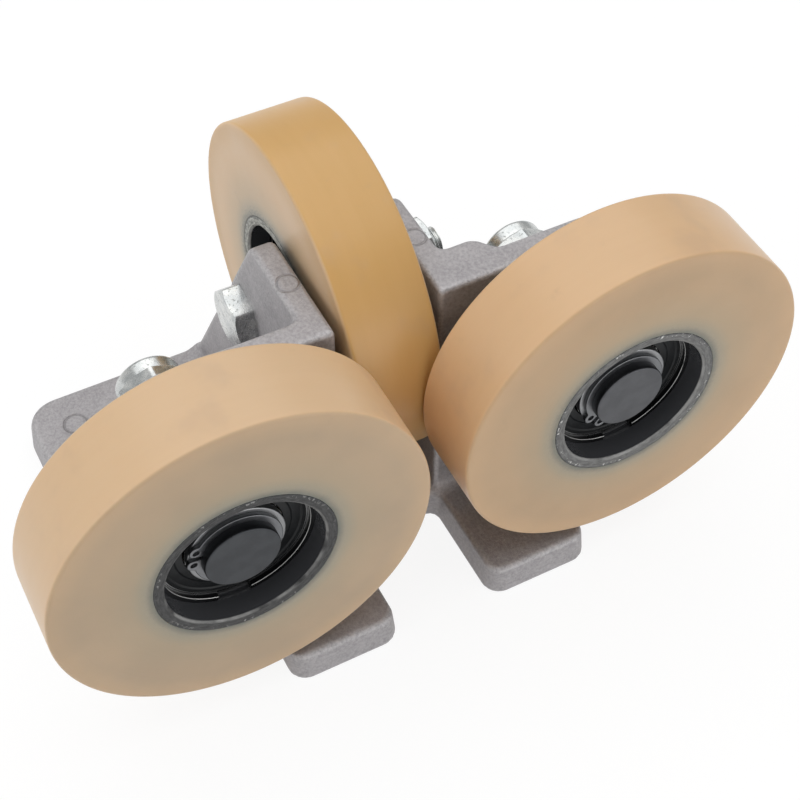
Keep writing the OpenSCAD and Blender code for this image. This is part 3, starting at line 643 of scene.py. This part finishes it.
snap_outline = soften([
    (snap_in, snap_front, snap_ease), (snap_out, snap_front, snap_ease),
    (snap_out, snap_back, snap_ease), (snap_in, snap_back, snap_ease)])
for name, place in rollers.items():
    spring_black = Finish(f"spring_black_{name}", Metallic=1.0)
    radius, _, depth = polar(spring_black, name)
    # The pale line on the inner front edge is a painted highlight, broken up by a noise that also varies the
    # roughness.
    edge = 1.0 - radius.between(snap_in + 0.05, snap_in + 0.22)
    painted_edge_highlight = edge * (1.0 - depth.between(snap_front + 0.1, snap_front + 0.25))
    wear_and_sheen = spring_black.noise(4.0, 2.0)
    spring_black.give(
        Base_Color=spring_black.mix(painted_edge_highlight * wear_and_sheen.between(0.25, 0.45), spring_tone, highlight_tone),
        Roughness=0.24 + 0.08 * wear_and_sheen)
    spring_black.bump(spring_black.noise(0.3), 0.004)
    gap_at = np.radians(snap_turn[name])
    points, faces = bent(snap_outline, place, gap_at + half_gap, gap_at + 2 * np.pi - half_gap)
    snap = add_piece(f"{name}_snap_ring", points, faces, spring_black)
    fit(snap, f"{name}_roller", "black_steel", f"{name}_core_circlip")


# Support rings and circlips: a plain steel ring backs the circlip that holds the bearing on the stud.
# The circlip is stamped from phosphated spring steel and has an ear with a hole at each end.
clip_turn = {"left": 284.0, "right": 224.0}
clip_in, clip_w, clip_t, clip_edge = groove_r + 0.02, 2.2, 1.2, 0.18
ear_at, ear_out_r, ear_hole_r, ear_root_r, hole_edge = groove_r + clip_w, 1.8, 0.85, 0.6, 0.1
ear_spread, slit_spread, slit_edge = 11.0, 4.0, 0.25
ring_play = 0.02
clip_margin, clip_cell = 0.4, 0.2
film_dark, film_pale = (0.15, 0.155, 0.165), (0.25, 0.255, 0.265)
dull_dark, dull_pale = (0.26, 0.265, 0.275), (0.38, 0.385, 0.39)


def circlip(up, out, depth):
    """Distance to the circlip: a ring fused with two ears, less the slit, the holes and what is past its
    faces."""
    radius = np.hypot(up, out)
    angle = np.degrees(np.abs(np.arctan2(out, up)))
    ring = np.abs(radius - clip_in - clip_w / 2) - clip_w / 2
    tip = np.radians(ear_spread)
    ear = np.hypot(up - ear_at * np.cos(tip), np.abs(out) - ear_at * np.sin(tip))
    flat = fuse(ring, ear - ear_out_r, ear_root_r)
    flat = np.maximum(flat, clip_in - radius)
    flat = trim(flat, np.radians(slit_spread - angle) * radius, slit_edge)
    flat = trim(flat, ear_hole_r - ear, hole_edge)
    return trim(flat, np.abs(depth - clip_front - clip_t / 2) - clip_t / 2, clip_edge)


phosphated = Finish("phosphated", Metallic=1.0)
film = phosphated.noise(1.5, 3.0)
phosphated.give(Base_Color=phosphated.mix(film, film_dark, film_pale), Roughness=0.3 + 0.2 * film)
phosphated.bump(phosphated.noise(0.25), 0.015)
dull_steel = Finish("dull_steel", Metallic=1.0)
stain = dull_steel.noise(2.0, 3.0)
dull_steel.give(Base_Color=dull_steel.mix(stain, dull_dark, dull_pale), Roughness=0.34 + 0.14 * stain)
dull_steel.bump(dull_steel.noise(0.3), 0.01)
support_outline = soften([
    (journal_r + ring_play, support_front, 0.15), (collar_r, support_front, 0.35),
    (collar_r, bearing_front, 0.15), (journal_r + ring_play, bearing_front, 0.15)])
clip_reach = ear_at + ear_out_r + clip_margin
clip_points, clip_faces, clip_normals = skin_of(
    circlip, (-clip_reach, -clip_reach, clip_front - clip_margin),
    (clip_reach, clip_reach, clip_front + clip_t + clip_margin), clip_cell)
for name, side in sides.items():
    place = on_side(side)
    points, faces = turned(support_outline, place)
    support = add_piece(f"{name}_backing_ring", points, faces, dull_steel)
    fit(support, "bracket", "bright_steel", f"{name}_support_ring")
    turn = np.radians(clip_turn[name])
    spin = np.array([[np.cos(turn), -np.sin(turn), 0], [np.sin(turn), np.cos(turn), 0], [0, 0, 1]])
    points = place(*(clip_points @ spin.T).T)
    normals = place(*(clip_normals @ spin.T).T) - place(0.0, 0.0, 0.0)
    clip = add_piece(f"{name}_clip", points, clip_faces, phosphated, normals)
    fit(clip, "bracket", "spring_steel", f"{name}_axle_circlip")


# Treads: polyurethane cast round the cores, turned to width and left bare.
# The side rollers are pale tan, the nose roller is more amber; the skin is satin and cloudy.
tread_r, tread_edge, tread_in, tread_in_edge = 50.0, 1.1, 24.02, 0.2
# Per roller: deep and pale tread tones and a flank tone. The flank tones carry painted shade: the side
# rollers' flanks, which face away from the top light, get a darker copy of the tan than the nose roller's
# flanks.
tread_tones = {
    "left": ((0.70, 0.475, 0.275), (0.75, 0.53, 0.325), (0.475, 0.355, 0.235)),
    "right": ((0.70, 0.455, 0.25), (0.75, 0.505, 0.29), (0.50, 0.345, 0.205)),
    "nose": ((0.61, 0.355, 0.115), (0.69, 0.42, 0.165), (0.74, 0.535, 0.345)),
}
tread_slots = {"left": "tan_tread", "right": "tan_tread", "nose": "amber_tread"}
scuffed = {"left": 0.15, "right": 0.25, "nose": 0.9}
rub_tone, inner_tone, halo_tone = (0.52, 0.36, 0.25), (0.40, 0.345, 0.24), (0.29, 0.30, 0.255)
stain_tone, smudge_tone, scratch_tone = (0.11, 0.13, 0.12), (0.36, 0.27, 0.19), (0.17, 0.17, 0.15)
tread_outline = soften([
    (tread_in, 0, tread_in_edge), (tread_r, 0, tread_edge), (tread_r, roller_w, tread_edge),
    (tread_in, roller_w, tread_in_edge)], 8)
for name, place in rollers.items():
    deep_tone, pale_tone, flank_tone_as_lit = tread_tones[name]
    cast_tread = Finish(f"cast_tread_{name}", Subsurface_Weight=0.12, Subsurface_Scale=0.004,
                        Subsurface_Radius=(1.0, 0.6, 0.35), IOR=1.48, Specular_IOR_Level=0.45)
    radius, angle, depth = polar(cast_tread, name)
    face = on_face(depth, 0.8, 0.1)
    cloud = cast_tread.noise(22.0, 3.0)
    streak = cast_tread.noise(2.2, 3.0, 0.6, cast_tread.join(angle * 4.0, depth * 0.9, radius * 0.15))
    turning = cast_tread.noise(0.5, 2.0, 0.6, cast_tread.join(radius, angle * 0.6))
    smudge = cast_tread.noise(7.0, 4.0, 0.65)
    rubs = cast_tread.noise(16.0, 3.0, 0.55).between(0.52, 0.72)
    inner = 1.0 - radius.between(tread_in + 3.0, tread_in + 17.0)
    # Towards the rim the flank turns to the tread's deep tone: a painted glow of light through the
    # polyurethane's edge.
    painted_rim_glow = radius.between(tread_r - 8.0, tread_r - 1.0) * (0.22 + 0.25 * cloud)
    halo = (1.0 - radius.between(tread_in + 1.2, tread_in + 6.5)) * (0.5 + 0.5 * smudge)
    stain = (1.0 - radius.between(tread_in, tread_in + 2.4)) * (0.4 + 0.8 * smudge)
    near_core = 1.0 - radius.between(tread_in, tread_in + 4.0)
    scratch = cast_tread.noise(0.8, 4.0, 0.7).between(0.45, 0.6) * near_core

    tread = cast_tread.mix(cloud * 0.6 + streak * 0.4, deep_tone, pale_tone)
    tread = cast_tread.mix(rubs * 0.22, tread, rub_tone)
    flank = cast_tread.mix(cloud.between(0.3, 0.7) * 0.2, flank_tone_as_lit, pale_tone)
    flank = cast_tread.mix(inner * 0.45, flank, inner_tone)
    flank = cast_tread.mix(painted_rim_glow, flank, deep_tone)
    colour = cast_tread.mix(face, tread, flank)
    colour = cast_tread.mix(halo * 0.65, colour, halo_tone)
    colour = cast_tread.mix(stain * 0.8, colour, stain_tone)
    colour = cast_tread.mix(smudge.between(0.62, 0.8) * 0.12, colour, smudge_tone)
    colour = cast_tread.mix(scratch * scuffed[name] * face, colour, scratch_tone)
    cast_tread.give(Base_Color=colour, Roughness=0.26 + 0.1 * smudge + 0.06 * turning + 0.06 * face)
    cast_tread.bump(turning * face * 0.5 + streak * (1.0 - face) * 0.35 + smudge * 0.3, 0.05)
    points, faces = turned(tread_outline, place, 256)
    tyre = add_piece(f"{name}_tread", points, faces, cast_tread)
    fit(tyre, f"{name}_roller", tread_slots[name], f"{name}_tyre")


# Nose bolt, washer and nut: a hexagon bolt runs through both cheeks and the sleeve with the nose bearing.
# Steel, zinc plated; the rolled thread stands out of the nut on the right.
bolt_r, bolt_flats, bolt_pitch, bolt_out = 5.0, 16.0, 1.5, 3.2
head_seat, head_h, head_turn = -10.38, 6.0, np.radians(-15.5)
washer_seat, nut_seat, nose_nut_h = 34.38, 36.88, 8.4
nose_washer_r, nose_washer_bore_r = 10.0, 5.25
head_top = head_seat - head_h
nut_top = nut_seat + nose_nut_h
bolt_end = nut_top + bolt_out
corner_r, chamfer_r, drop = chamfer_of(bolt_flats)
bolt_outline = soften([
    (0, head_top, 0), (chamfer_r, head_top, 0.25), (corner_r, head_top + drop, 0.1),
    (corner_r, head_seat, 0.1), (bolt_r, head_seat, 0.1), (bolt_r, bolt_end, 0.9),
    (0, bolt_end, 0)], gap=0.16)
nose_nut_outline = soften([
    (bolt_r + thread_play, nut_seat, 0.3), (chamfer_r, nut_seat, 0.1), (corner_r, nut_seat + drop, 0.1),
    (corner_r, nut_top - drop, 0.1), (chamfer_r, nut_top, 0.15),
    (bolt_r + thread_play, nut_top, 0.5)], gap=0.3)


def bolt_shape(radius, angle, depth):
    """Hexagon head in front of the seat, rolled thread from the nut on."""
    in_head = depth <= head_seat + 0.01
    headed = np.where(in_head, np.minimum(radius, hexagon(angle, bolt_flats, head_turn)), radius)
    return thread(headed, angle, depth, bolt_r, bolt_pitch, nut_seat)


points, faces = turned(bolt_outline, on_nose, 144, bolt_shape)
bolt = add_piece("nose_screw", points, faces, zinc_plate)
fit(bolt, "bracket", "zinc_steel", "nose_bolt")
points, faces = turned(washer_outline(nose_washer_bore_r, nose_washer_r, washer_seat, nut_seat), on_nose)
nose_washer = add_piece("nose_plain_washer", points, faces, zinc_plate)
fit(nose_washer, "bracket", "zinc_steel", "nose_washer")
points, faces = turned(nose_nut_outline, on_nose, 144, on_flats(bolt_flats, nut_turn))
nose_nut = add_piece("nose_hexagon_nut", points, faces, zinc_plate)
fit(nose_nut, "bracket", "zinc_steel", "nose_nut")


# Studio: a pale floor that shows white and keeps the shadow, soft light from all round, and four square
# soft lamps: a large one above, one on the left, one in front and a small low one by the legs.
# The camera stands in front of the left roller and looks down on the shoe.
floor_half, floor_tone, floor_light = 6.0, (0.92, 0.92, 0.92, 1.0), 1.04
white = (1.0, 1.0, 1.0, 1.0)
lamps = {
    "top_softbox": ((-0.2, 0.1, 1.1), (0.0, 0.0, 0.05), 1.6, 10.0),
    "left_softbox": ((-0.1, -1.1, 0.55), (0.0, 0.0, 0.05), 1.0, 3.5),
    "front_softbox": ((1.2, -0.1, 0.35), (0.0, 0.0, 0.05), 0.8, 1.2),
    "low_softbox": ((0.5, 0.25, 0.07), (0.07, 0.02, 0.03), 0.3, 0.65),
}


def white_seen(recipe, mirrored):
    """1 for rays that go straight to the camera, and the given share for rays mirrored in the pieces."""
    straight, glossy = (
        recipe.node("ShaderNodeLightPath", {}, {}, f"Is {way} Ray") for way in ("Camera", "Glossy"))
    return straight.maths("MAXIMUM", straight, glossy * mirrored)


def stand(thing, place, right, back):
    """Puts a lamp or the camera at a place, its x along right and its z along back, made square to right."""
    right = np.array(right) / np.linalg.norm(right)
    back = np.array(back) - right * (right @ back)
    back /= np.linalg.norm(back)
    turn = np.stack([right, np.cross(back, right), back], 1)
    thing.matrix_world = Matrix.Translation(place) @ Matrix(turn.tolist()).to_4x4()
    bpy.context.scene.collection.objects.link(thing)


floor_paint = bpy.data.materials.new("floor_paint")
floor_paint.use_nodes = True
floor_paint.node_tree.nodes.clear()
floor_recipe = Recipe(floor_paint.node_tree)
matte = floor_recipe.node("ShaderNodeBsdfDiffuse", {}, {"Color": floor_tone})
shine = floor_recipe.node("ShaderNodeEmission", {}, {"Color": white, "Strength": floor_light})
floor_place = floor_recipe.node("ShaderNodeTexCoord", output="Object")
floor_away = floor_recipe.node("ShaderNodeVectorMath", {"operation": "LENGTH"}, {0: floor_place}, "Value")
floor_white = white_seen(floor_recipe, 0.9) * (0.85 + 0.15 * floor_away.between(0.3, 1.2))
floor_mix = floor_recipe.node("ShaderNodeMixShader", {}, {0: floor_white, 1: matte, 2: shine})
floor_out = floor_paint.node_tree.nodes.new("ShaderNodeOutputMaterial")
floor_recipe.feed(floor_out.inputs["Surface"], floor_mix)
floor_mesh = bpy.data.meshes.new("floor")
corners = [(u * floor_half, v * floor_half, 0) for u, v in ((-1, -1), (1, -1), (1, 1), (-1, 1))]
floor_mesh.from_pydata(corners, [], [(0, 1, 2, 3)])
floor_mesh.materials.append(floor_paint)
floor = bpy.data.objects.new("floor", floor_mesh)
bpy.context.scene.collection.objects.link(floor)

world = bpy.data.worlds.new("studio")
world.use_nodes = True
bpy.context.scene.world = world
sky = Recipe(world.node_tree)
backdrop = world.node_tree.nodes["Background"]
sky.feed(backdrop.inputs["Strength"], 0.3 + white_seen(sky, 0.35) * 0.7)
sky.feed(backdrop.inputs["Color"], white)

for name, (place, aim, size, power) in lamps.items():
    light = bpy.data.lights.new(name, "AREA")
    light.size, light.energy = size, power
    back = np.subtract(place, aim)
    steep = abs(back[2]) > 0.9 * np.linalg.norm(back)
    right = np.cross((0.0, 1.0, 0.0) if steep else (0.0, 0.0, 1.0), back)
    stand(bpy.data.objects.new(name, light), place, right, back)

camera = bpy.data.objects.new("camera", bpy.data.cameras.new("camera"))
camera.data.sensor_width = 36.0
camera.data.lens = 70.85
stand(camera, (0.2789, -0.1203, 0.3772), (0.4598, 0.8880, 0.0023), (0.5674, -0.2958, 0.7685))
bpy.context.scene.camera = camera
bpy.context.scene.view_settings.view_transform = "Standard"
